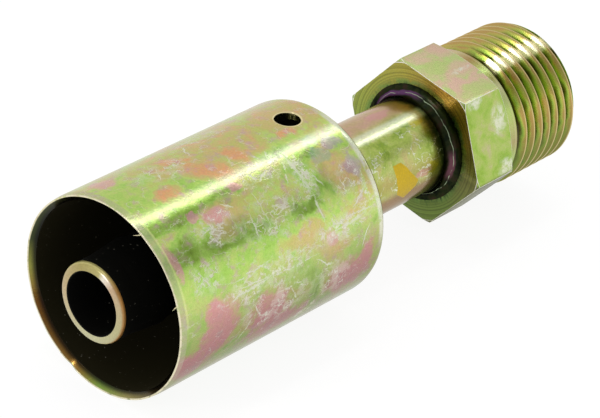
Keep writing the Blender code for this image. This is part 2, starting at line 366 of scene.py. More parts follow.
class Value:
    """One output of a node. Arithmetic on it adds nodes: | gives the greater of two, & the smaller."""

    def __init__(self, wiring, socket):
        self.wiring = wiring
        self.socket = socket

    def beside(self, output):
        """Another output of the same node."""
        return Value(self.wiring, self.socket.node.outputs[output])

    __add__ = __radd__ = arithmetic("ADD")
    __sub__ = arithmetic("SUBTRACT")
    __rsub__ = arithmetic("SUBTRACT", swapped=True)
    __mul__ = __rmul__ = arithmetic("MULTIPLY")
    __truediv__ = arithmetic("DIVIDE")
    __or__ = arithmetic("MAXIMUM")
    __and__ = arithmetic("MINIMUM")
    __abs__ = arithmetic("ABSOLUTE")


class Wiring:
    """Adds nodes to one tree and joins them, one call for each node."""

    def __init__(self, tree):
        self.tree = tree
        self.tree.nodes.clear()

    def put(self, target, value):
        """Sets an input from a number, a vector, a colour or another node's output."""
        if isinstance(value, Value):
            self.tree.links.new(value.socket, target)
        elif target.type == "RGBA" and len(value) == 3:
            target.default_value = (*value, 1)
        else:
            target.default_value = value

    def node(self, kind, values=None, output=0, **settings):
        """Adds a node, sets it and its inputs, and returns one of its outputs."""
        node = self.tree.nodes.new(kind)
        for name, value in settings.items():
            setattr(node, name, value)
        for key, value in (values or {}).items():
            self.put(node.inputs[key], value)
        return Value(self, node.outputs[output]) if node.outputs else None

    def math(self, operation, first, second=0.0, third=0.0):
        """One arithmetic step."""
        return self.node("ShaderNodeMath", {0: first, 1: second, 2: third}, operation=operation)

    def vector(self, operation, first, second, third=(0, 0, 0), output=0):
        """One vector step that gives a vector, or a number with output 1."""
        return self.node("ShaderNodeVectorMath", {0: first, 1: second, 2: third}, output,
                         operation=operation)

    def scaled(self, vector, factor):
        """A vector or a colour times a number."""
        return self.node("ShaderNodeVectorMath", {0: vector, "Scale": factor}, operation="SCALE")

    def joined(self, x, y, z=0.0):
        """A vector from its parts."""
        return self.node("ShaderNodeCombineXYZ", {0: x, 1: y, 2: z})

    def share(self, value, start, end):
        """How far a value is from start, at zero, to end, at one."""
        return self.node("ShaderNodeMapRange", {0: value, 1: start, 2: end})

    def rise(self, value, start, end, low=0.0, high=1.0):
        """A smooth step from low at start to high at end."""
        return self.node("ShaderNodeMapRange", {0: value, 1: start, 2: end, 3: low, 4: high},
                         interpolation_type="SMOOTHSTEP")

    def band(self, value, start, end, soft):
        """One inside a span of values and zero outside, with soft edges."""
        return (self.rise(value, start - soft, start + soft)
                * self.rise(value, end - soft, end + soft, 1, 0))

    def noise(self, vector, scale, detail=3.0, roughness=0.5, distortion=0.0, output=0):
        """Fractal noise, its value or, with output 1, its colour."""
        return self.node("ShaderNodeTexNoise", {"Vector": vector, "Scale": scale, "Detail": detail,
                                                "Roughness": roughness, "Distortion": distortion}, output)

    def mix(self, factor, first, second):
        """Mixes two colours."""
        return self.node("ShaderNodeMix", {0: factor, 6: first, 7: second}, 2, data_type="RGBA")

    def ramp(self, factor, stops):
        """A colour ramp from (place, colour) stops."""
        value = self.node("ShaderNodeValToRGB", {0: factor})
        elements = value.socket.node.color_ramp.elements
        while len(elements) < len(stops):
            elements.new(0.5)
        for element, (place, color) in zip(elements, stops):
            element.position = place
            element.color = (*color, 1)
        return value


def around(stops):
    """Stops at angles in degrees as stops of a ramp that runs once about the axis."""
    return [((angle + 180) / 360, color) for angle, color in stops]


class Surface(Wiring):
    """Wiring for one plated surface of revolution, with its places in millimetres."""

    def __init__(self, name, radius):
        self.material = bpy.data.materials.new(name)
        self.material.use_nodes = True
        super().__init__(self.material.node_tree)
        self.plating = bpy.context.scene.fitting_plating
        self.color = None
        self.planes = {}
        self.crumbs = None
        place = self.node("ShaderNodeTexCoord", output=3)
        self.mm = self.scaled(self.vector("SUBTRACT", place, (MOUTH_X, 0, AXIS_Z)), MILLIMETRE)
        self.along = self.node("ShaderNodeSeparateXYZ", {0: self.mm})
        side = self.along.beside(1)
        up = self.along.beside(2)
        turned = self.math("ARCTAN2", side * -1, up)
        self.angle = turned * math.degrees(1)
        self.radius = self.math("SQRT", side * side + up * up)
        # The outer side rolled out flat: along the axis, and round it by the length of the arc
        self.arc = radius * MILLIMETRE
        self.flat = self.joined(self.along, turned * self.arc)

    def cloud(self, scale, detail=3.0, roughness=0.5, distortion=0.0):
        """Noise that is fixed to the piece, with its scale for each millimetre."""
        return self.noise(self.mm, scale, detail, roughness, distortion)

    def sector(self, start, end, soft):
        """One between two angles about the axis and zero elsewhere, with soft edges."""
        return self.band(self.angle, start, end, soft)

    def rings(self, scale, detail=3.0, roughness=0.5):
        """Noise in fine rings about the axis, as a turning tool leaves them."""
        return self.noise(self.joined(self.along, self.radius), scale, detail, roughness)

    def round_tints(self, tints):
        """A colour ramp over the angle about the axis, from (angle, colour) stops in degrees."""
        return self.ramp(self.share(self.angle, -180, 180), around(tints))

    def warped(self, place, scale, amount, detail=4.0):
        """A place pushed about by noise, so that what is drawn on it gets ragged edges."""
        push = self.noise(self.mm, scale, detail, 0.6, output=1)
        push = self.vector("SUBTRACT", push, (0.5, 0.5, 0.5))
        return self.vector("ADD", place, self.scaled(push, amount))

    def leaning(self, place, lean):
        """The place in axes turned by a lean in degrees, made once for each lean."""
        key = (place.socket.node.name, lean)
        if key not in self.planes:
            turn = (0, 0, math.radians(lean))
            self.planes[key] = self.node("ShaderNodeMapping", {0: place, "Rotation": turn},
                                         vector_type="TEXTURE")
        return self.planes[key]

    def spots(self, place, ellipses, inner=0.6, outer=1.15):
        """One inside ellipses of (angle, along, half length, half width, lean if any), else zero."""
        inside = None
        for angle, along, length, width, *leans in ellipses:
            lean = leans[0] if leans else 0
            turned = self.leaning(place, lean) if lean else place
            center = Vector((along, math.radians(angle) * self.arc))
            center.rotate(Matrix.Rotation(-math.radians(lean), 2))
            local = self.vector("MULTIPLY_ADD", turned, (1 / length, 1 / width, 0),
                                (-center.x / length, -center.y / width, 0))
            square = self.vector("DOT_PRODUCT", local, local, output=1)
            spot = self.rise(square, inner ** 2, outer ** 2, 1, 0)
            inside = inside | spot if inside else spot
        return inside

    def patch(self, place, corners):
        """One inside a convex patch with corners (angle, along), and zero outside."""
        points = [Vector((along, math.radians(angle) * self.arc, 0)) for angle, along in corners]
        inside = None
        for first, second in zip(points, points[1:] + points[:1]):
            across = (second - first).normalized().cross(Vector((0, 0, 1)))
            depth = self.vector("DOT_PRODUCT", place, -across, output=1) + across.dot(first)
            inside = inside & depth if inside else depth
        return self.rise(inside, -0.04, 0.04)

    def scratches(self, place, stretch, lean, width, detail=2.0):
        """Thin curved lines, where a noise field passes its middle value."""
        local = self.node("ShaderNodeMapping", {0: place, "Rotation": (0, 0, math.radians(lean)),
                                                "Scale": (*stretch, 1)})
        off_middle = abs(self.noise(local, 1, detail, 0.45) - 0.5)
        return self.rise(off_middle, 0.3 * width, width, 1, 0)

    def thicken(self, film, place, ellipses, target, strength):
        """Brings the film inside the ellipses towards another thickness."""
        amount = self.spots(place, ellipses, 0, 1.45) * strength
        return self.node("ShaderNodeMix", {0: amount, 2: film, 3: target})

    def over(self, amount, color):
        """Lays a colour over the present one, by an amount from zero to one."""
        self.color = self.mix(amount, self.color, color)

    def shade(self, factor):
        """Makes the present colour darker or lighter."""
        self.color = self.scaled(self.color, factor)

    def tint(self, place, ellipses, color, strength):
        """Lays a colour over the present one inside the ellipses, with crumbled edges."""
        self.crumbs = self.crumbs or self.cloud(0.75, 6, 0.62)
        inside = self.crumbs * 1.8 + self.spots(place, ellipses, 0, 1.55)
        self.over(self.rise(inside, 0.85, 1.85, 0, strength), color)

    def grain(self, scale, detail, roughness, low, high):
        """Shades the present colour with a fine grain, and returns the grain."""
        grain = self.cloud(scale, detail, roughness)
        self.shade(self.rise(grain, 0.3, 0.7, low, high))
        return grain

    def finish(self, values):
        """Ends the material with the present colour and what else is given."""
        shader = self.node("ShaderNodeBsdfPrincipled", {"Base Color": self.color, **values})
        self.node("ShaderNodeOutputMaterial", {"Surface": shader})
        return self.material

    def plated(self, roughness, height, bump, distance=0.00005, coat=0.3, edge=0.72):
        """Plated metal: the present colour, with a faint clear gloss over it."""
        normal = self.node("ShaderNodeBump", {"Strength": bump, "Distance": distance, "Height": height})
        return self.finish({
            "Metallic": 1, "Roughness": roughness, "Normal": normal, "Coat Weight": coat,
            "Coat Roughness": 0.1, "Coat IOR": 1.5, "Specular Tint": (edge, 0.97 * edge, 0.86 * edge, 1)})


# Stains of the ferrule: angle, place, half length, half width and lean, in degrees and mm
FERRULE_GREEN = [
    (3, 3.5, 3.6, 3.6), (9, 9.6, 1.6, 1.3), (-4, 6, 2.2, 1.6), (60, 6, 6, 3.4), (60, 17, 4.5, 2),
    (84, 2, 2, 2.4), (83, 29, 2, 2.4), (84, 20, 3.5, 1.4), (86, 12, 2.5, 1.4)]
# Painted dark reflections below the strip of light, not stains: darkened and pulled to deep green
FERRULE_DARK_REFLECTIONS = [
    (27, 5.5, 5, 1.1), (27.5, 12, 3.5, 0.9), (47, 10.5, 4.5, 1.6), (46, 3.5, 2.4, 1.6),
    (44, 27.2, 1.4, 1.8), (26, 27.6, 1.3, 0.8), (52, 22.5, 2, 1)]
FERRULE_SALMON = [
    (9, 14.2, 3.2, 1.7, 30), (8, 19.2, 1.2, 1.7, -30), (11, 7, 1.9, 0.9), (-11, 12, 1.6, 0.9, 30),
    (9, 27.2, 1.4, 0.6)]
FERRULE_PINK = [
    (-19, 3.3, 1.3, 1.5, -30), (26, 15.2, 1, 0.7), (74, 25.2, 1, 0.9, 30), (29.5, 7.2, 0.7, 0.5),
    (48, 1.7, 0.5, 2), (34, 10, 1.4, 1)]
FERRULE_CLOUD = [
    (38, 11.5, 2.9, 2), (38, 29, 2.2, 2.4), (45, 31, 1.4, 1.5), (-4, 29.5, 3.6, 2.6), (66, 21, 3.5, 1.2),
    (80, 26, 2.4, 1)]
FERRULE_ROSE = [
    (95, 6.2, 2.5, 3.6, 30), (84, 5.6, 1.6, 1.9, 30), (97, 14.6, 3, 2.2), (110, 2.2, 3.2, 2),
    (103, 28.8, 3.4, 2.4), (112, 17, 4.4, 1.5), (95, 31.5, 1.4, 1.8)]
FERRULE_PURPLE = [(27, 31.2, 1.3, 0.7), (43, 31.9, 1.2, 1.2)]
FERRULE_TEAL = [(30, 28.6, 1.1, 0.9), (20, 28.8, 0.9, 0.6)]
FERRULE_TINTS = [
    (FERRULE_PINK, (0.84, 0.39, 0.45), 0.74), (FERRULE_ROSE, (0.88, 0.31, 0.41), 0.92),
    (FERRULE_PURPLE, (0.5, 0.36, 0.52), 0.62), (FERRULE_TEAL, (0.36, 0.56, 0.42), 0.5)]
# Long scratches, and the zones that are scribbled over or frosted; the frosted zone on the strip of light
# is a painted highlight
FERRULE_STROKES = [
    (78.6, 11, 5, 0.17, -4), (78.3, 18.5, 4.5, 0.13), (76, 12, 3.5, 0.12, 5), (69.5, 12, 3.6, 0.12, -4),
    (46, 19.3, 1.6, 0.15, 20), (46.5, 21.2, 0.7, 0.13, -60), (49, 14.5, 1.7, 0.14, 90),
    (44, 16.6, 3, 0.11, 90), (40.5, 8.6, 2.4, 0.17, -4), (35, 10.8, 1, 0.14, -30),
    (33, 12.5, 0.9, 0.12, 30), (26.5, 19.5, 1.8, 0.17, -15), (62.5, 4.9, 1.2, 0.12, 60),
    (70, 13.7, 1.3, 0.12, 30), (89.5, 17.5, 2.8, 0.12), (94, 12.6, 1.5, 0.12, 60),
    (100, 14, 1.4, 0.12, 20), (97, 19, 1.8, 0.12, 60), (70.5, 28.5, 3.4, 0.22, -4),
    (67.5, 30.5, 2.8, 0.15, 5), (55, 24.5, 2.3, 0.16, 90), (33, 24.2, 3.4, 0.26, 90),
    (38, 25.6, 2.2, 0.16, 60), (30, 22.6, 1.8, 0.15, -60), (103, 11, 1.6, 0.12, -60),
    (86, 24, 2, 0.12, 30), (60, 31, 1.8, 0.15, -30), (-14, 15.6, 2.2, 0.12, -60), (-4, 9, 1.6, 0.12, -60),
    (82, 31, 1.6, 0.13, -60)]
FERRULE_SCRIBBLES = [
    (34, 24.2, 1.8, 4.4), (27, 18.5, 3.4, 1.4, -4), (40, 9.5, 4, 1.7, -4), (49, 16.5, 5, 2.4),
    (48, 30.5, 2.8, 2.4), (94, 16, 6.5, 3), (62, 5, 2.6, 1.6), (-6, 10, 5, 2.2), (-22, 19, 4.5, 1.8),
    (100, 26, 4, 2.6), (70, 27.5, 6, 1.8, -4), (76, 14, 8, 2, -4)]
FERRULE_FROST_AND_HIGHLIGHT = [
    (34, 24.3, 1.3, 4.2), (69.5, 28, 5.5, 1.1, -4), (77, 13, 7.5, 0.9, -4), (19.5, 21.5, 4.5, 1),
    (27, 18.5, 2.6, 0.9, -4), (40, 9, 2.6, 0.9, -4), (117, 22.5, 1.6, 1.3), (58, 31.5, 1.6, 2.4)]
# Radius of the gold rim of the sight hole
SIGHT_RIM = 1.76


def ferrule_plating():
    """Glossy mottled plating: green and gold, with rose and salmon stains and pale scratches."""
    cup = bpy.context.scene.fitting_ferrule
    skin = Surface("ferrule_yellow_zinc", FERRULE_RADIUS)
    soft = skin.warped(skin.flat, 0.34, 4.2)
    ragged = skin.warped(skin.flat, 0.6, 3, 7)
    # The film's thickness, from 0 to 1, gives its colour; stains are where it is thicker
    film = skin.cloud(0.21, 7, 0.62, 0.9) * 1.25 - 0.27 + skin.sector(-75, 12, 18) * 0.12
    film = skin.thicken(film, soft, FERRULE_GREEN, 0.23, 0.75)
    # The painted dark reflections pull the film to its darkest green
    film = skin.thicken(film, soft, FERRULE_DARK_REFLECTIONS, 0.1, 0.8)
    film = skin.thicken(film, soft, FERRULE_CLOUD, 0.64, 0.8)
    film = skin.thicken(film, ragged, FERRULE_SALMON, 0.75, 0.88)
    fine = skin.cloud(1.3, 5, 0.65)
    skin.color = skin.ramp((fine - 0.5) * 0.34 + film, FILM)
    for ellipses, color, strength in FERRULE_TINTS:
        skin.tint(ragged, ellipses, color, strength)
    # The front is duller below its green middle; painted shade darkens the underside, and painted dark
    # reflections darken places below the strip of light
    skin.over(skin.sector(70, 100, 8) * 0.24, (0.5, 0.49, 0.25))
    skin.shade(skin.rise(abs(skin.angle), 62, 114, 1, 0.46))
    skin.shade(1 - skin.spots(soft, FERRULE_DARK_REFLECTIONS, 0.2, 1.3) * 0.22)
    # Pale wear: long strokes at listed places, scribbles and frosted patches in zones
    wavy = skin.warped(skin.warped(skin.flat, 0.55, 1.1, 2), 2.6, 0.26, 2)
    strokes = skin.spots(wavy, FERRULE_STROKES, 0.25, 1.1)
    zones = skin.spots(soft, FERRULE_SCRIBBLES, 0.3, 1.2)
    bent = skin.warped(skin.mm, 1, 0.5, 2)
    coarse = skin.scratches(bent, (0.36, 0.36), 0, 0.021) * (zones | 0.32)
    close_set = skin.scratches(bent, (0.8, 0.66), 35, 0.03) * zones
    lines = (coarse | close_set) * skin.rise(skin.cloud(0.75), 0.44, 0.54)
    lines = lines | strokes * skin.rise(skin.cloud(1.5), 0.3, 0.48)
    flecks = skin.rise(skin.cloud(1.5, 7, 0.75), 0.49, 0.6)
    # Frosted patches, and among them a painted highlight along the strip of light
    frost_and_highlight = flecks * skin.spots(soft, FERRULE_FROST_AND_HIGHLIGHT, 0.2, 1.3)
    haze = skin.rise(skin.cloud(0.85, 5, 0.6), 0.44, 0.6, 0, 0.29) * zones
    # The rounded rear edge is painted pale in front, partly rubbed wear and partly a painted highlight, and
    # a painted highlight runs along the top of the front along its whole length
    rear = skin.band(skin.along, 33.5, 34.8, 0.25) * skin.sector(4, 90, 8)
    rubbed = skin.rise(skin.cloud(0.9, 6, 0.7), 0.36, 0.5)
    painted_strip_highlight = skin.sector(16.5, 22.5, 2.5) * skin.rise(skin.along, 8, 20, 0.25, 0.5)
    skin.over(lines * 0.75 | (frost_and_highlight | rear * rubbed) * 0.76 | haze | painted_strip_highlight, skin.plating.pale)
    # The turned band behind the lip is duller, with a painted highlight line at its rear and a pale edge in
    # front
    skin.over(skin.rise(skin.along, 0.8, 1.05, 0.45, 0), (0.5, 0.47, 0.34))
    # A painted highlight: a bright line at the rear of the band, on the lit side
    step = skin.band(skin.along, 0.95, 1.2, 0.1) * skin.sector(14, 80, 10)
    skin.over(step * 0.55, (0.8, 0.84, 0.38))
    skin.over(skin.rise(skin.along, 0.1, 0.2, 1, 0) * rubbed, (0.8, 0.74, 0.52))
    # The bevel goes from green to brown round the mouth, is painted dark as shade over most of its turn,
    # and the painted shade deepens towards the bore
    bore = (FERRULE_RADIUS - cup.wall) * MILLIMETRE
    lip = (FERRULE_RADIUS - cup.lip_drop) * MILLIMETRE
    depth = skin.rise(skin.radius, bore + 0.05, bore + 0.55, 0.12, 1.15)
    inside = skin.rise(skin.radius, lip - 0.24, lip - 0.15, 1, 0) * skin.rise(skin.along, 1.5, 1.8, 1, 0)
    skin.over(inside, skin.scaled(skin.round_tints(BEVEL_TINTS_AND_SHADE), depth))
    # The broken edge of the sight hole shows bare gold, and its wall is darker
    hole_along = (FERRULE_LENGTH - cup.hole_from_rear) * MILLIMETRE
    rim = skin.spots(skin.flat, [(0, hole_along, SIGHT_RIM, SIGHT_RIM)], 0.99, 1.06)
    skin.over(rim * 0.95, (0.9, 0.78, 0.42))
    wall = skin.rise(skin.radius, skin.arc - 0.24, skin.arc - 0.12, 1, 0)
    skin.over(wall * rim, (0.4, 0.38, 0.12))
    skin.grain(4.5, 3, 0.6, 0.93, 1.05)
    roughness = fine * 0.16 + (skin.plating.roughness - 0.1) + lines * 0.24
    return skin.plated(roughness, lines * -0.35 + skin.cloud(0.9, 4, 0.55), 0.36, 0.00007)


# The neck: yellow and pink stains, and the corners of the mustard blot as angle and place
NECK_YELLOW = [(26, 50.9, 1.3, 0.8), (84, 50.6, 1.3, 0.8)]
NECK_PINK = [(-5, 47.5, 2.2, 0.9), (86, 49, 1.5, 0.7)]
MUSTARD_CORNERS = [(60.5, 43.8), (61, 45.3), (92, 48.2), (98, 47.9), (108, 46), (98, 44.3)]


def stem_plating():
    """The neck: green and gold with rose flanks, faint scratches and one mustard blot."""
    skin = Surface("stem_yellow_zinc", TUBE_RADIUS)
    soft = skin.warped(skin.flat, 0.5, 2)
    tone = skin.cloud(0.28, 5, 0.6, 0.6)
    skin.color = skin.ramp(tone, [(0.36, (0.29, 0.43, 0.05)), (0.46, (0.44, 0.56, 0.11)),
                                  (0.56, (0.56, 0.63, 0.19)), (0.66, skin.plating.gold)])
    rosy = skin.ramp(tone, [(0.4, (0.62, 0.42, 0.24)), (0.55, (0.66, 0.4, 0.3)),
                            (0.68, (0.7, 0.36, 0.38))])
    skin.over(skin.sector(-75, 9, 9) * 0.9, rosy)
    skin.over(skin.sector(70, 92, 10) * 0.6, (0.44, 0.34, 0.09))
    # The underside is brown-rose: its film's colour, darkened as painted shade
    skin.over(skin.rise(abs(skin.angle), 88, 104) * 0.9, (0.33, 0.17, 0.1))
    # Near the braze the film turns brown on top and yellow beside it, and painted shade darkens it right at
    # the fillet
    brown = skin.rise(skin.along, 50.2, 52.8) * skin.sector(-60, 14, 8)
    skin.over(brown * 0.8, (0.42, 0.22, 0.04))
    skin.over(skin.spots(soft, NECK_YELLOW) * 0.8, (0.62, 0.56, 0.04))
    skin.over(skin.spots(soft, NECK_PINK) * 0.6, (0.72, 0.34, 0.36))
    joint_shade = skin.cloud(1.1, 6, 0.7) * 1.8 + skin.along + skin.sector(25, 80, 14) * 0.45
    skin.over(skin.rise(joint_shade, 52.5, 54, 0, 0.94), (0.02, 0.035, 0.012))
    # Painted shade: a little darker at the front below
    skin.shade(1 - skin.sector(56, 88, 8) * 0.1)
    fine = skin.scratches(skin.warped(skin.mm, 1.3, 0.8, 3), (0.6, 0.6), 0, 0.022)
    patches = skin.rise(skin.cloud(0.4), 0.46, 0.58, 0.12, 0.75)
    skin.over(fine * patches * skin.sector(28, 100, 10), skin.plating.pale)
    # A painted highlight along the top
    skin.over(skin.sector(11, 24.5, 3) * 0.55, skin.plating.pale)
    # One blot of mustard paint, with hard edges
    blot = skin.patch(skin.warped(skin.flat, 0.9, 0.45), MUSTARD_CORNERS)
    skin.over(blot, MUSTARD)
    grain = skin.grain(4, 4, 0.7, 0.88, 1.08)
    roughness = grain * 0.1 + (skin.plating.roughness - 0.08) + blot * 0.2
    return skin.plated(roughness, blot * 0.3 + skin.cloud(1.2, 4, 0.6), 0.3)


def nose_plating():
    """The rounded nose: a pale gold rim with a painted highlight, and a painted dark reflection that makes
    its outer side brown in front.
    """
    skin = Surface("nose_yellow_zinc", TUBE_RADIUS)
    # A painted dark reflection browns the outer side in front; the rim's ramp holds a painted highlight
    outer = skin.mix(skin.sector(30, 150, 25), (0.62, 0.55, 0.2), (0.46, 0.22, 0.05))
    skin.color = skin.mix(skin.rise(skin.radius, 4.74, 4.96), skin.round_tints(NOSE_TINTS_AND_HIGHLIGHT), outer)
    skin.grain(4, 4, 0.7, 0.9, 1.06)
    return skin.finish({"Metallic": 0.4, "Roughness": 0.28})


# Stains of the flats, as on the ferrule
FLAT_PINK = [
    (-13, 61, 1.8, 1.1), (11, 60.2, 2, 1.2), (27, 60.6, 1.5, 0.9), (-13, 57.4, 1.6, 0.8),
    (20, 57, 1.5, 0.8)]
FLAT_GREEN = [(33, 58.6, 2.6, 0.9), (0, 57.6, 1.8, 1)]
FLAT_CLOUDS = [(60, 60.4, 1.5, 1.9), (97, 61, 1.8, 1.1), (42, 56.6, 1.2, 0.7), (12, 60, 1.6, 0.4)]


def hexagon_plating():
    """The hexagon and its collar: green flats, rose tints on top, clouds, and a turned rear face."""
    end = bpy.context.scene.fitting_end
    skin = Surface("hexagon_yellow_zinc", end.collar_radius)
    tone = skin.cloud(0.3, 3.5, 0.6, 0.8)
    skin.color = skin.ramp(tone, [(0.36, (0.28, 0.46, 0.05)), (0.47, (0.36, 0.52, 0.09)),
                                  (0.57, (0.44, 0.54, 0.14)), (0.68, (0.52, 0.5, 0.24))])
    pink = skin.ramp(tone, [(0.38, (0.54, 0.68, 0.24)), (0.48, (0.6, 0.62, 0.28)),
                            (0.55, (0.7, 0.56, 0.34)), (0.68, (0.74, 0.5, 0.38))])
    skin.over(skin.sector(-20, 40, 1.5), pink)
    soft = skin.warped(skin.flat, 0.5, 1.8)
    skin.tint(soft, FLAT_PINK, (0.78, 0.5, 0.41), 0.62)
    skin.tint(soft, FLAT_GREEN, (0.5, 0.66, 0.2), 0.7)
    cloud = skin.rise(skin.cloud(0.9, 6, 0.7), 0.38, 0.58, 0.1, 0.85)
    skin.over(cloud * skin.spots(soft, FLAT_CLOUDS, 0.1, 1.3), (0.8, 0.8, 0.66))
    # Painted shade: the lower flat is made dark
    under = skin.rise(abs(skin.angle), 98, 101, 0, 0.9)
    skin.over(under, (0.13, 0.13, 0.06))
    # The collar is turned, so its tints run round it in fine rings
    rings = skin.rings(3, 4, 0.8)
    start = collar_start(end) * MILLIMETRE
    collar = skin.rise(skin.along, start - 0.05, start)
    ringed = skin.rise(rings, 0.45, 0.6, 0, 0.4)
    skin.over(collar, skin.mix(ringed, skin.round_tints(COLLAR_TINTS), (0.7, 0.58, 0.36)))
    # The rear face keeps its turning rings: olive below, brown in front, orange towards the top corner
    face = skin.scaled(skin.round_tints(REAR_TINTS), skin.rise(rings, 0.38, 0.62, 0.7, 1.2))
    # Painted shade round the braze begins with a patchy dark green arc
    green_arc = skin.band(skin.radius, 7.5, 8.4, 0.3) * skin.rise(tone, 0.42, 0.55)
    face = skin.mix(green_arc * 0.7, face, (0.16, 0.26, 0.05))
    # Round the braze the face is painted black-green as shade, with a spiky edge that reaches further in
    # front
    spikes = skin.noise(skin.joined(skin.angle * 0.35, skin.radius * 0.5), 1)
    length = skin.sector(95, 170, 15) * -1.9 - 0.7
    reach = (spikes - 0.5) * length + skin.radius
    reach = (skin.cloud(1.6, 7, 0.75) - 0.5) * -1.9 + reach + skin.sector(25, 85, 20) * -0.35
    face = skin.mix(skin.rise(reach, 7.5, 8.4, 0.75, 0), face, (0.05, 0.11, 0.02))
    face = skin.mix(skin.rise(reach, 7.15, 7.85, 1, 0), face, (0.006, 0.01, 0.004))
    rear_at = HEX_REAR * MILLIMETRE
    rear = skin.rise(skin.along, rear_at + 0.03, rear_at + 0.07, 1, 0)
    skin.over(rear, face)
    roughness = skin.grain(4, 4, 0.7, 0.94, 1.05) * 0.08 + skin.plating.roughness + under * 0.3
    return skin.plated(roughness, rings * (rear | collar) * 1.6 + skin.cloud(1.2) * 0.5, 0.34)


def thread_plating():
    """The thread: gold and green flanks, roots darkened as painted shade, a broad painted highlight on each
    turn, and pale worn crests.
    """
    end = bpy.context.scene.fitting_end
    skin = Surface("thread_yellow_zinc", end.crest_radius)
    tone = skin.cloud(0.3, 5, 0.6, 0.5)
    # Each flank runs from a root darkened as painted shade over green and gold to a brown edge below the
    # pale crest
    crest = end.crest_radius * MILLIMETRE
    root = crest - end.thread_depth * MILLIMETRE
    height = (tone - 0.5) * 1.5 + skin.share(skin.radius, root, crest)
    skin.color = skin.ramp(height, [(0, (0.06, 0.045, 0.012)), (0.22, (0.12, 0.13, 0.02)),
                                    (0.45, (0.26, 0.42, 0.05)), (0.65, (0.44, 0.46, 0.08)),
                                    (0.85, (0.42, 0.28, 0.08))])
    skin.over(skin.sector(-70, -2, 9) * 0.45, (0.6, 0.4, 0.14))
    skin.over((skin.sector(-5, 9, 4) | skin.sector(44, 60, 6)) * 0.4, (0.32, 0.46, 0.07))
    # Painted light: the front is made a third lighter
    skin.shade(skin.sector(40, 70, 10) * 0.36 + 1)
    # Painted shade: the underside is darker, with a green tint
    painted_underside_shade = skin.rise(abs(skin.angle), 74, 112, 1, 0.62)
    skin.over(skin.rise(painted_underside_shade, 1, 0.62, 0, 0.6), (0.26, 0.34, 0.06))
    skin.shade(painted_underside_shade)
    # Towards the light every turn has a broad pale patch, a painted highlight
    painted_thread_highlight = skin.band(skin.cloud(0.5, 4) * 8 + skin.angle, 17.5, 30.5, 2.5)
    skin.over(painted_thread_highlight * 0.8, (0.91, 0.89, 0.6))
    # Painted shade darkens the roots further
    skin.over(skin.rise(skin.radius, root + 0.05, root + 0.25, 0.85, 0), (0.05, 0.04, 0.01))
    skin.over(skin.rise(skin.radius, crest - 0.06, crest - 0.02, 0, 0.75), (0.7, 0.55, 0.25))
    roughness = skin.cloud(5, 3, 0.6) * 0.08 + skin.plating.roughness
    return skin.plated(roughness, skin.cloud(1.6, 3, 0.6), 0.14, 0.00004)


def braze_plating():
    """The filler ring: black-green as painted shade, purple in places, with a painted thin highlight line
    round it.
    """
    skin = Surface("braze_dark_film", TUBE_RADIUS)
    # Near black, as painted shade in the corner of the joint
    skin.color = skin.ramp(skin.cloud(0.7, 4, 0.6), [
        (0.4, (0.006, 0.01, 0.004)), (0.52, (0.016, 0.022, 0.007)), (0.64, (0.03, 0.02, 0.012))])
    wobble = skin.cloud(0.5) * 0.5 + skin.radius
    upper = skin.sector(-75, 0, 12) * skin.band(wobble, 6.75, 7.25, 0.12)
    skin.over(upper * 0.85, (0.14, 0.055, 0.15))
    lower = skin.sector(78, 108, 8) * skin.band(wobble, 6.65, 7.2, 0.12)
    skin.over(lower * 0.7, (0.16, 0.06, 0.085))
    # A painted highlight: a thin bright line round the fillet
    line = skin.band(wobble, 6.98, 7.02, 0.03) * skin.rise(skin.cloud(0.6, 2), 0.38, 0.5)
    skin.over(line * 0.9, (0.5, 0.62, 0.4))
    return skin.plated(0.34, skin.cloud(2), 0.4, coat=0.06, edge=0.3)


def worn_edge(name, bare):
    """Bare bright metal on the blunted edges of the hexagon and on the burrs."""
    skin = Surface(name, TUBE_RADIUS)
    rubbed = skin.rise(skin.cloud(0.8, 4, 0.7), 0.32, 0.5)
    skin.color = skin.mix(rubbed, (0.48, 0.54, 0.2), bare)
    return skin.finish({"Metallic": 0.3, "Roughness": 0.4})


def bore_plating():
    """The bores of the turned end: olive gold, darker further in as painted shade."""
    skin = Surface("bore_yellow_zinc", TUBE_RADIUS)
    skin.color = skin.ramp(skin.cloud(0.35, 4, 0.6, 0.5), [
        (0.36, (0.2, 0.27, 0.05)), (0.5, (0.4, 0.38, 0.11)), (0.64, (0.5, 0.36, 0.16))])
    end = FITTING_END * MILLIMETRE
    # Painted shade: darker further into the bore
    skin.shade(skin.rise(skin.along, end - 14, end - 1, 0.25, 1))
    return skin.plated(skin.plating.roughness, skin.rings(3), 0.3)


def bore_shade_and_film(name, color):
    """Painted shade over a dark film, inside the cup and the tube: near black, with a few grey specks."""
    skin = Surface(name, TUBE_RADIUS)
    specks = skin.rise(skin.cloud(2.4, 2, 0.6), 0.7, 0.75, 0, 0.5)
    skin.color = skin.mix(specks, color, (0.45, 0.43, 0.36))
    return skin.finish({"Metallic": 0, "Roughness": 0.6, "Specular IOR Level": 0.1})


def wall_places():
    """Places of the ferrule's rear wall: its front, the floor of the shoulder seat and of the dent."""
    cup = bpy.context.scene.fitting_ferrule
    front = FERRULE_LENGTH - cup.rear_wall
    return front, front + cup.shoulder_seat, FERRULE_LENGTH - cup.stake_depth


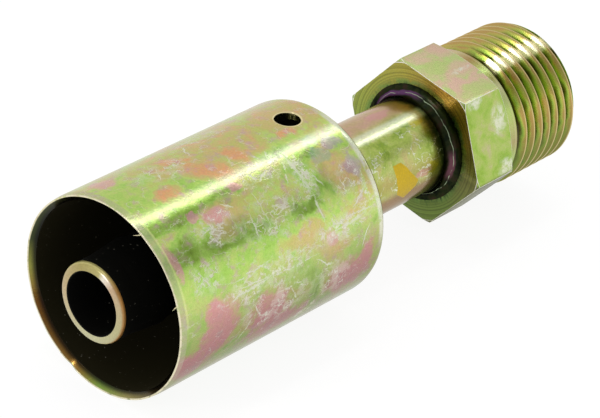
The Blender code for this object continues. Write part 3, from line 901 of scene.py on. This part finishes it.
def ferrule_section(cup):
    """Closed section of the cup, with its dent, lip, bevelled mouth and shoulder seat."""
    inner = FERRULE_RADIUS - cup.wall
    lip = FERRULE_RADIUS - cup.lip_drop
    hold = TUBE_RADIUS - bpy.context.scene.fitting_stem.groove_depth + FIT_GAP
    seat = TUBE_RADIUS + FIT_GAP
    wall_front, seat_floor, stake_floor = wall_places()
    return rounded([
        (hold, stake_floor, 0),
        (seat, stake_floor, 0.00004),
        (seat + cup.stake_slope, FERRULE_LENGTH, 0.0001),
        (FERRULE_RADIUS, FERRULE_LENGTH, cup.rear_round),
        (FERRULE_RADIUS, cup.lip_length, 0.004),
        (lip, 0, 0.00004),
        (lip - cup.lip_edge, 0, 0.00003),
        (inner, cup.bevel_depth, 0.0002),
        (inner, wall_front, cup.rear_round - cup.wall),
        (seat, wall_front, 0.00004),
        (seat, seat_floor, 0),
        (hold, seat_floor, 0),
    ], closed=True)


# Wear of the lip: how far in it reaches, its waves as (share, waves in a turn, start), and its notch
LIP_WEAR_REACH = 0.0008
LIP_WAVE = 0.00006
LIP_WAVES = [(0.3, 7, 1), (0.2, 19, 0)]
LIP_NOTCH_ANGLE = math.radians(-158)
LIP_NOTCH_WIDTH = 0.05
LIP_NOTCH_DEPTH = 0.00022
# The burrs: angle, length and lean of each, how they are set into the lip, and how they thin and bend
LIP_BURRS = [(26, 0.00104, -3.8), (68.5, 0.00086, 2.6)]
BURR_RADIUS = 0.00011
BURR_INSET = 0.00025
BURR_ALONG = 0.00008
BURR_THINNING = 0.8
BURR_BEND = 1.2
BURR_STEPS = 8
BURR_SIDES = 6
# How far a face's middle may lie off the surface that it belongs to
FACE_SLACK = 0.00003
# The drill of the sight hole
DRILL_DEPTH = 0.004
DRILL_SIDES = 64


def turns(count):
    """Angles that divide a whole turn."""
    return [TURN * step / count for step in range(count)]


def sight_hole_drill(cup):
    """A drill whose mouth flares a little, standing in the top of the cup."""
    center = Vector((MOUTH_X + FERRULE_LENGTH - cup.hole_from_rear, 0, AXIS_Z + FERRULE_RADIUS))
    edge = cup.hole_break
    levels = [(cup.hole_radius, -DRILL_DEPTH), (cup.hole_radius, -edge),
              (cup.hole_radius + 2 * edge, edge)]
    rings = [[center + Vector((radius * math.cos(turn), radius * math.sin(turn), height))
              for turn in turns(DRILL_SIDES)] for radius, height in levels]
    return show(tube_mesh("sight_hole_drill", rings))


def wear_lip(mesh):
    """Makes the lip slightly uneven, with one notch low at the back."""
    for vertex in mesh.vertices:
        share = 1 - (vertex.co.x - MOUTH_X) / LIP_WEAR_REACH
        angle = math.atan2(-vertex.co.y, vertex.co.z - AXIS_Z)
        wave = 0.5 + sum(part * math.sin(count * angle + start) for part, count, start in LIP_WAVES)
        notch = math.exp(-((angle - LIP_NOTCH_ANGLE) / LIP_NOTCH_WIDTH) ** 2)
        vertex.co.x += max(share, 0) * (LIP_WAVE * wave + LIP_NOTCH_DEPTH * notch)


def burr_mesh(angle, length, lean):
    """A thin hook of metal that stands inwards from the lip, leaning round the mouth."""
    across = (about_axis(1, 0, angle) - about_axis(0, 0, angle)).cross(AXIS)
    rings = []
    for step in range(BURR_STEPS + 1):
        share = step / BURR_STEPS
        center = about_axis(FERRULE_RADIUS - BURR_INSET - length * share, BURR_ALONG,
                            angle + lean * share ** BURR_BEND)
        thick = BURR_RADIUS * (1 - BURR_THINNING * share)
        rings.append([center + thick * (across * math.cos(turn) + AXIS * math.sin(turn))
                      for turn in turns(BURR_SIDES)])
    return tube_mesh("burr", rings)


def add_burrs(mesh):
    """Joins the hooks, in the third material, to the cup."""
    shape = opened(mesh)
    for angle, length, lean in LIP_BURRS:
        burr = burr_mesh(math.radians(angle), length, math.radians(lean))
        paint_faces(burr, lambda radius, along: 2)
        shape.from_mesh(burr)
        bpy.data.meshes.remove(burr)
    close(shape, mesh)


class FITTING_OT_make_ferrule(bpy.types.Operator):
    """Makes the drawn cup with its sight hole and its worn lip"""
    bl_idname = "fitting.make_ferrule"
    bl_label = "Ferrule"

    def execute(self, context):
        cup = context.scene.fitting_ferrule
        mesh = turned_mesh("drawn_ferrule", ferrule_section(cup))
        wear_lip(mesh)
        piece = show(mesh, [ferrule_plating(), bore_shade_and_film("cup_dark_film", SHADE_UMBER),
                            worn_edge("lip_burrs", PALE_GOLD)])
        drill = sight_hole_drill(cup)
        cut = piece.modifiers.new("sight_hole", "BOOLEAN")
        cut.operation = "DIFFERENCE"
        cut.solver = "EXACT"
        cut.object = drill
        mesh = bake(piece)
        bpy.data.objects.remove(drill, do_unlink=True)
        inner = FERRULE_RADIUS - cup.wall + FACE_SLACK
        wall = wall_places()[0] + FIT_GAP
        # The cup's inner wall gets the near-black painted shade
        paint_faces(mesh, lambda radius, along: int(radius < inner and cup.bevel_depth < along < wall))
        add_burrs(mesh)
        return settle(piece, "ferrule")


def stem_section(tube):
    """Closed section of the tube: bores, neck, groove, swage, barbs and rounded nose."""
    wall_front, seat_floor, stake_floor = wall_places()
    groove = TUBE_RADIUS - tube.groove_depth
    shoulder = wall_front - tube.shoulder
    swage_start = shoulder - tube.swage
    first_barb = STEM_NOSE + tube.nose_plain
    root = tube.root_radius
    corners = [
        (tube.tube_bore, TUBE_END, 0),
        (TUBE_RADIUS, TUBE_END, 0),
        (TUBE_RADIUS, stake_floor + FIT_GAP, 0),
        (groove, stake_floor + FIT_GAP, 0),
        (groove, seat_floor - FIT_GAP, 0),
        (TUBE_RADIUS, seat_floor - FIT_GAP, 0.00005),
        (TUBE_RADIUS, shoulder, 0.0015),
        (root, swage_start, 0.001),
    ]
    for index in reversed(range(tube.barbs)):
        foot = first_barb + (index + 1) * tube.barb_pitch
        corners += [(root, foot, 0.0001), (root + tube.barb_height, foot - tube.barb_back, 0.0001)]
    corners += [
        (root, first_barb, 0.0002),
        (root, STEM_NOSE, tube.nose_round),
        (tube.bore, STEM_NOSE, 0.00018),
        (tube.bore, swage_start, 0.0005),
        (tube.tube_bore, swage_start + tube.bore_taper, 0.0005),
    ]
    return rounded(corners, closed=True)


# Where the stem's near-black painted shade over its dark film begins: on its rim, in its bore, behind its
# nose and at the rear wall
RIM_WIDTH = 0.00013
RIM_DEPTH = 0.00001
NOSE_LENGTHS = 1.6
WALL_COVER = 0.0005


class FITTING_OT_make_hose_stem(bpy.types.Operator):
    """Makes the barbed tube with its plain neck"""
    bl_idname = "fitting.make_hose_stem"
    bl_label = "Hose stem"

    def execute(self, context):
        tube = context.scene.fitting_stem
        piece = show(turned_mesh("barbed_stem", stem_section(tube)),
                     [stem_plating(), bore_shade_and_film("stem_dark_film", SHADE_BLACK), nose_plating()])
        nose_end = STEM_NOSE + NOSE_LENGTHS * tube.nose_round

        def which(radius, along):
            if along < nose_end:
                return 1 if radius < tube.bore + RIM_WIDTH and along > STEM_NOSE + RIM_DEPTH else 2
            return int(radius < tube.tube_bore + RIM_DEPTH or along < FERRULE_LENGTH - WALL_COVER)

        paint_faces(piece.data, which)
        return settle(piece, "hose_stem")


# The thread's form: rows of a turn, half the crest as a share of the pitch, the slope of its flanks,
# how softly its crests and roots turn, how steeply it leaves the relief, and spare turns at its ends
THREAD_ROWS = 20
CREST_HALF = 1 / 16
FLANK_SLOPE = math.sqrt(3)
CREST_SOFTNESS = 0.00006
ROOT_SOFTNESS = 0.00015
START_SLOPE = 1.7
SPARE_TURNS = 3


def thread_values(end, start):
    """What the thread's node tree is given, under the names of its inputs."""
    return {
        "Crest Radius": end.crest_radius, "Depth": end.thread_depth, "Pitch": end.pitch,
        "Start": start, "End": FITTING_END, "Start Radius": end.relief_radius,
        "End Radius": end.crest_radius - end.end_chamfer, "Crest Place": end.crest_at,
        "First Angle": end.hex_turn, "Mouth": MOUTH_X, "Axis Height": AXIS_Z, "Columns": COLUMNS,
        "Rows": THREAD_ROWS, "Turns": math.ceil((FITTING_END - start) / end.pitch) + SPARE_TURNS,
    }


def thread_tree(values, material):
    """Geometry nodes that wind a thread: a grid whose rows follow the helix, trimmed at both ends."""
    tree = bpy.data.node_groups.new("wound_thread", "GeometryNodeTree")
    for name, value in values.items():
        kind = "NodeSocketInt" if isinstance(value, int) else "NodeSocketFloat"
        tree.interface.new_socket(name, in_out="INPUT", socket_type=kind)
    tree.interface.new_socket("Geometry", in_out="OUTPUT", socket_type="NodeSocketGeometry")
    wiring = Wiring(tree)
    outputs = tree.nodes.new("NodeGroupInput").outputs
    given = {name: Value(wiring, outputs[name]) for name in values}
    start, end, pitch = given["Start"], given["End"], given["Pitch"]
    grid = wiring.node("GeometryNodeMeshGrid", {
        "Size X": 1, "Size Y": 1, "Vertices X": given["Columns"] * given["Turns"] + 1,
        "Vertices Y": given["Rows"] + 1})
    across = wiring.node("ShaderNodeSeparateXYZ", {0: wiring.node("GeometryNodeInputPosition")})
    turned = (across + 0.5) * given["Turns"]
    share = across.beside(1) + 0.5
    angle = turned * TURN + given["First Angle"]
    # The first turn starts before the thread, and what lies past its ends folds onto the end rings
    wound = turned + given["First Angle"] / TURN + share
    whole = wiring.math("FLOOR", (start - given["Crest Place"]) / pitch)
    along = (wound + (whole - 1.5)) * pitch + given["Crest Place"]
    held = (along | start) & end
    fall = (abs(share - 0.5) - CREST_HALF) * pitch * FLANK_SLOPE
    fall = wiring.math("SMOOTH_MAX", fall, 0, CREST_SOFTNESS)
    fall = wiring.math("SMOOTH_MIN", fall, given["Depth"], ROOT_SOFTNESS)
    start_cone = (held - start) * START_SLOPE + given["Start Radius"]
    end_cone = end - held + given["End Radius"]
    ridge = (given["Crest Radius"] - fall) & start_cone & end_cone
    place = wiring.joined(held + given["Mouth"], ridge * wiring.math("SINE", angle) * -1,
                          ridge * wiring.math("COSINE", angle) + given["Axis Height"])
    shape = wiring.node("GeometryNodeSetPosition", {"Geometry": grid, "Position": place})
    shape = wiring.node("GeometryNodeMergeByDistance", {"Geometry": shape, "Distance": WELD_DISTANCE})
    shape = wiring.node("GeometryNodeSetMaterial", {"Geometry": shape, "Material": material})
    wiring.node("NodeGroupOutput", {"Geometry": shape})
    return tree


def wind_thread(end, start, material):
    """The thread's surface between its two end rings, as a plain mesh."""
    piece = show(bpy.data.meshes.new("thread_surface"))
    values = thread_values(end, start)
    modifier = piece.modifiers.new("wound_thread", "NODES")
    modifier.node_group = thread_tree(values, material)
    for item in modifier.node_group.interface.items_tree:
        if item.in_out == "INPUT":
            modifier[item.identifier] = values[item.name]
    mesh = bake(piece)
    bpy.data.objects.remove(piece, do_unlink=True)
    return mesh


def collar_start(end):
    """Where the chamfer of the hexagon meets the collar."""
    corner = end.across_flats / math.sqrt(3)
    corner_end = HEX_REAR + end.corner_length
    return corner_end + (corner - end.collar_radius) * math.tan(end.chamfer)


def end_section(end, angle):
    """Open section of the turned end at one angle, from the thread's last ring to its first."""
    side = TURN / HEX_SIDES
    from_corner = (angle - end.hex_turn) % side
    hexagon = end.across_flats / 2 / math.cos(from_corner - side / 2)
    slope = math.tan(end.chamfer)
    collar = end.collar_radius
    collar_end = collar_start(end) + end.collar_length
    seat_floor = FITTING_END - end.seat_depth
    socket_end = HEX_REAR + end.socket_depth
    socket = TUBE_RADIUS + FIT_GAP
    return rounded([
        (end.crest_radius - end.end_chamfer, FITTING_END, 0),
        (end.seat_radius + end.seat_chamfer, FITTING_END, 0.00006),
        (end.seat_radius, FITTING_END - end.seat_chamfer, 0.0001),
        (end.seat_radius, seat_floor, 0.0002),
        (end.flow_bore, seat_floor, 0.0001),
        (end.flow_bore, socket_end, 0),
        (socket, socket_end, 0),
        (socket, HEX_REAR, 0.00006),
        (min(hexagon, end.rear_face), HEX_REAR, 0),
        (hexagon, HEX_REAR + max(0, hexagon - end.rear_face) * slope, 0),
        (hexagon, collar_start(end) - (hexagon - collar) * slope, 0),
        (collar, collar_start(end), 0.00004),
        (collar, collar_end, 0.00012),
        (end.relief_radius, collar_end, 0.0002),
        (end.relief_radius, collar_end + end.relief_length, 0),
    ], closed=False)


# Materials of the turned end, in their order, and the edges that are blunted: outside the collar by
# more than the margin, and sharper than the least angle
FLATS, EDGES, THREAD, BORES = range(4)
BLUNT_MARGIN = 0.00005
BLUNT_ANGLE = math.radians(12)


def blunt_edges(piece, end):
    """Marks the hexagon's edges and rounds them with a narrow bevel of its own material."""
    mesh = piece.data
    shape = opened(mesh)
    weights = shape.edges.layers.float.new("bevel_weight_edge")
    for edge in shape.edges:
        radius, _ = from_axis((edge.verts[0].co + edge.verts[1].co) / 2)
        if len(edge.link_faces) == 2 and radius > end.collar_radius + BLUNT_MARGIN:
            edge[weights] = float(edge.calc_face_angle() > BLUNT_ANGLE)
    close(shape, mesh)
    bevel = piece.modifiers.new("blunted", "BEVEL")
    bevel.limit_method = "WEIGHT"
    bevel.width = end.edge_width
    bevel.segments = 3
    bevel.material = EDGES
    return bake(piece)


class FITTING_OT_make_threaded_end(bpy.types.Operator):
    """Makes the hexagon, its collar, its bores and the wound thread"""
    bl_idname = "fitting.make_threaded_end"
    bl_label = "Threaded end"

    def execute(self, context):
        end = context.scene.fitting_end
        materials = [hexagon_plating(), worn_edge("worn_edge", BARE_STEEL), thread_plating(),
                     bore_plating()]
        sections = [end_section(end, end.hex_turn + turn) for turn in turns(COLUMNS)]
        piece = show(grid_mesh("turned_end", sections, end.hex_turn, closed=False), materials)
        mesh = blunt_edges(piece, end)
        collar_end = collar_start(end) + end.collar_length
        thread = wind_thread(end, collar_end + end.relief_length, materials[THREAD])
        paint_faces(thread, lambda radius, along: THREAD)
        shape = opened(mesh, thread)
        bpy.data.meshes.remove(thread)
        merge(shape)
        bmesh.ops.recalc_face_normals(shape, faces=shape.faces)
        open_edges = sum(len(edge.link_faces) != 2 for edge in shape.edges)
        if open_edges:
            raise RuntimeError(f"the threaded end has {open_edges} open edges")
        close(shape, mesh)

        def which(radius, along):
            if radius < end.seat_radius + FIT_GAP and along > HEX_REAR + 2 * FIT_GAP:
                return BORES
            return THREAD if along > collar_end else FLATS

        paint_faces(mesh, which, kept=EDGES)
        return settle(piece, "threaded_end")


# How far the filler reaches into its neighbours, the width of its thin edges, and steps of its curve
BRAZE_SUNK = 0.00004
BRAZE_EDGE = 0.00008
BRAZE_STEPS = 16


class FITTING_OT_make_braze_fillet(bpy.types.Operator):
    """Makes the concave ring of filler metal between the tube and the hexagon"""
    bl_idname = "fitting.make_braze_fillet"
    bl_label = "Braze fillet"

    def execute(self, context):
        fillet = BRAZE_RADIUS - TUBE_RADIUS - BRAZE_EDGE
        tip = HEX_REAR - BRAZE_EDGE - fillet
        section = [(TUBE_RADIUS - BRAZE_SUNK, HEX_REAR + BRAZE_SUNK), (BRAZE_RADIUS, HEX_REAR + BRAZE_SUNK),
                   (BRAZE_RADIUS, HEX_REAR - BRAZE_EDGE)]
        for step in range(BRAZE_STEPS + 1):
            turn = math.pi / 2 * (1 + step / BRAZE_STEPS)
            section.append((BRAZE_RADIUS + fillet * math.cos(turn), tip + fillet * math.sin(turn)))
        section.append((TUBE_RADIUS - BRAZE_SUNK, tip))
        piece = show(turned_mesh("filler_ring", section), [braze_plating()])
        return settle(piece, "braze_fillet")


# Where the camera stands and looks, fitted to the photo's outline
CAMERA_EYE = Vector((-0.229275, -0.185859, 0.187298))
CAMERA_DIRECTION = Vector((0.66059, 0.54474, -0.51661))
SENSOR_WIDTH = 36
# Each lamp's place from the bore's middle, what it faces away from, and its size along X and across
STRIP_LAMP = (Vector((0.8, 0.115, 0.993)), Vector((0, 0.115, 0.993)), (3, 0.12))
SOFTBOX_LAMP = (Vector((-0.907, 0.25, 0.338)), Vector((-0.907, 0.25, 0.338)), (0.17, 0.36))
# How white the floor is, how much of its glow is mixed in, and how bright the glow is
FLOOR_WHITE = 0.8
FLOOR_SHARE = 0.8
FLOOR_GLOW = 1.12
# Brightness of the studio by the roll angle about X, in degrees from straight up to the front
STUDIO_TONES = [
    (-180, 0.85), (-95, 0.95), (-70, 0.86), (-50, 0.78), (-14, 0.78), (8, 0.66), (17, 0.68), (25, 0.8),
    (34, 0.74), (44, 0.6), (56, 0.62), (68, 0.88), (80, 1), (100, 0.95), (180, 0.85)]


def studio_world():
    """Soft long panels of light and shade over the whole sky, even towards its ends along X."""
    world = bpy.data.worlds.new("studio")
    world.use_nodes = True
    wiring = Wiring(world.node_tree)
    x = wiring.node("ShaderNodeSeparateXYZ", {0: wiring.node("ShaderNodeTexCoord")})
    y = x.beside(1)
    roll = wiring.math("ARCTAN2", y * -1, x.beside(2))
    panels = wiring.ramp(roll / TURN + 0.5, around([(angle, (tone,) * 3) for angle, tone in STUDIO_TONES]))
    # Towards +X the panels fade out; towards the mouth's side the studio is dim, brighter at the back
    tones = wiring.mix(wiring.rise(x, 0.9, 0.985), panels, (0.85, 0.85, 0.85))
    dim = wiring.rise(y, 0.25, 0.6, 0.4, 0.75)
    tones = wiring.mix(wiring.rise(x, -0.75, -0.45, 1, 0), tones, dim)
    background = wiring.node("ShaderNodeBackground", {"Color": tones})
    wiring.node("ShaderNodeOutputWorld", {"Surface": background})
    bpy.context.scene.world = world


def floor_material():
    """A matt white floor that keeps the shadow and looks as bright as the world."""
    material = bpy.data.materials.new("stage_floor")
    material.use_nodes = True
    wiring = Wiring(material.node_tree)
    matt = wiring.node("ShaderNodeBsdfDiffuse", {"Color": (FLOOR_WHITE,) * 3})
    glow = wiring.node("ShaderNodeEmission", {"Color": (1, 1, 1), "Strength": FLOOR_GLOW})
    # Camera rays, glossy rays and rays through clear things see the glow
    camera = wiring.node("ShaderNodeLightPath")
    seen = camera | camera.beside(3) | camera.beside(6)
    floor = wiring.node("ShaderNodeMixShader", {0: seen * FLOOR_SHARE, 1: matt, 2: glow})
    wiring.node("ShaderNodeOutputMaterial", {"Surface": floor})
    return material


def area_light(name, lamp, power):
    """A rectangular lamp, its long side along X."""
    place, facing, lamp_size = lamp
    data = bpy.data.lights.new(name, "AREA")
    data.shape = "RECTANGLE"
    data.size, data.size_y = lamp_size
    data.energy = power
    turn = facing.to_track_quat("Z", "Y").to_matrix().to_4x4()
    link_object(name, data).matrix_world = Matrix.Translation(place + Vector((0, 0, AXIS_Z))) @ turn


class FITTING_OT_make_stage(bpy.types.Operator):
    """Makes the camera, the floor, the strip light, the softbox and the studio world"""
    bl_idname = "fitting.make_stage"
    bl_label = "Stage"

    def execute(self, context):
        stage = context.scene.fitting_stage
        camera_data = bpy.data.cameras.new("camera")
        camera_data.lens = stage.lens
        camera_data.sensor_width = SENSOR_WIDTH
        camera = link_object("camera", camera_data)
        facing = CAMERA_DIRECTION.to_track_quat("-Z", "Y").to_matrix().to_4x4()
        camera.matrix_world = (Matrix.Translation(CAMERA_EYE) @ facing
                               @ Matrix.Rotation(stage.roll, 4, "Z"))
        context.scene.camera = camera

        half = stage.floor_size / 2
        mesh = bpy.data.meshes.new("floor")
        mesh.from_pydata([(-half, -half, 0), (half, -half, 0), (half, half, 0), (-half, half, 0)],
                         [], [(0, 1, 2, 3)])
        show(mesh, [floor_material()])
        area_light("overhead_strip", STRIP_LAMP, stage.strip_power)
        area_light("front_softbox", SOFTBOX_LAMP, stage.softbox_power)
        studio_world()
        context.scene.view_settings.view_transform = "Standard"
        return {"FINISHED"}


class FITTING_PT_panel(bpy.types.Panel):
    """Lists the pieces of the fitting"""
    bl_label = "Crimp Hose Fitting"
    bl_idname = "FITTING_PT_panel"
    bl_space_type = "VIEW_3D"
    bl_region_type = "UI"
    bl_category = "Fitting"

    def draw(self, context):
        column = self.layout.column()
        for operator in OPERATORS:
            column.operator(operator.bl_idname)


SETTINGS = {
    "fitting_ferrule": FerruleSettings,
    "fitting_stem": StemSettings,
    "fitting_end": EndSettings,
    "fitting_plating": PlatingSettings,
    "fitting_stage": StageSettings,
}
OPERATORS = (
    FITTING_OT_make_stage,
    FITTING_OT_make_ferrule,
    FITTING_OT_make_hose_stem,
    FITTING_OT_make_threaded_end,
    FITTING_OT_make_braze_fillet,
)


def register():
    """Registers the settings, the operators and the panel."""
    for name, group in SETTINGS.items():
        bpy.utils.register_class(group)
        setattr(bpy.types.Scene, name, PointerProperty(type=group))
    for listed in (*OPERATORS, FITTING_PT_panel):
        bpy.utils.register_class(listed)


def unregister():
    """Removes what register added."""
    for listed in (FITTING_PT_panel, *reversed(OPERATORS)):
        bpy.utils.unregister_class(listed)
    for name, group in reversed(list(SETTINGS.items())):
        delattr(bpy.types.Scene, name)
        bpy.utils.unregister_class(group)


def clear_scene():
    """Removes the startup objects that aren't part of the frame."""
    for leftover in [o for o in bpy.data.objects if o.type in {"LIGHT", "CAMERA"}]:
        bpy.data.objects.remove(leftover, do_unlink=True)


def main():
    """Makes every piece in order."""
    register()
    clear_scene()
    bpy.ops.fitting.make_stage()
    bpy.ops.fitting.make_ferrule()
    bpy.ops.fitting.make_hose_stem()
    bpy.ops.fitting.make_threaded_end()
    bpy.ops.fitting.make_braze_fillet()
    bpy.context.view_layer.update()


if __name__ == "__main__":
    main()
